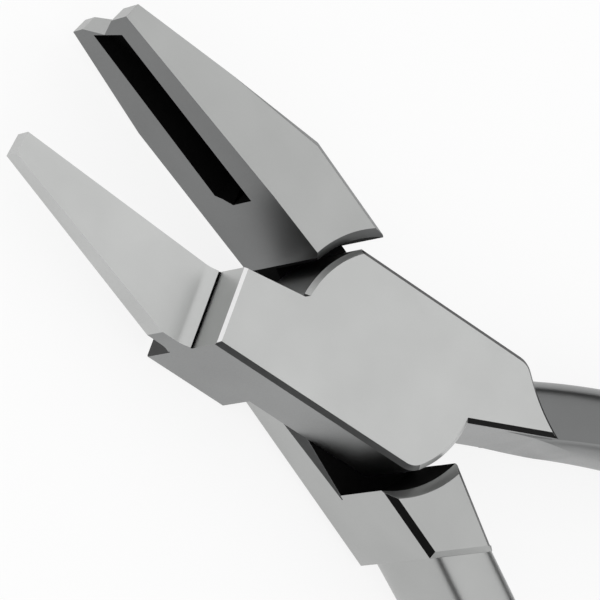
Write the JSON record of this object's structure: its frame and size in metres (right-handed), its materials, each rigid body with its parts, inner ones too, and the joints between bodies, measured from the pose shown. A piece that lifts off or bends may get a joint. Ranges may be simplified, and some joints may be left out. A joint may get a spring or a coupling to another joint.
{
  "type": "orthodontic pliers",
  "caption": "Orthodontic pliers with a thin flat beak closing on a slotted jaw, lap joint with blind pivot pin, bowed bare steel handles.",
  "frame": {"origin": "centre of the pivot pin's head, on the back face", "axes": "+X towards the tips along the middle of the open jaws, +Y towards the flat beak's side, +Z out of the front lap"},
  "size_m": [0.1334, 0.0559, 0.0099],
  "materials": {
    "beak_half_steel": "satin",
    "jaw_half_steel": "satin",
    "pin_steel": "satin"
  },
  "bodies": {
    "beak_half": {"flat_beak_half": "beak_half_steel", "pivot_pin": "pin_steel"},
    "jaw_half": {"slotted_jaw_half": "jaw_half_steel"}
  },
  "joints": [
    {"name": "jaw_pivot", "type": "hinge", "parent": "beak_half", "child": "jaw_half", "pos_m": [0, 0, 0.005], "axis": [0, 0, 1], "range_deg": [-20, 18.2]}
  ]
}
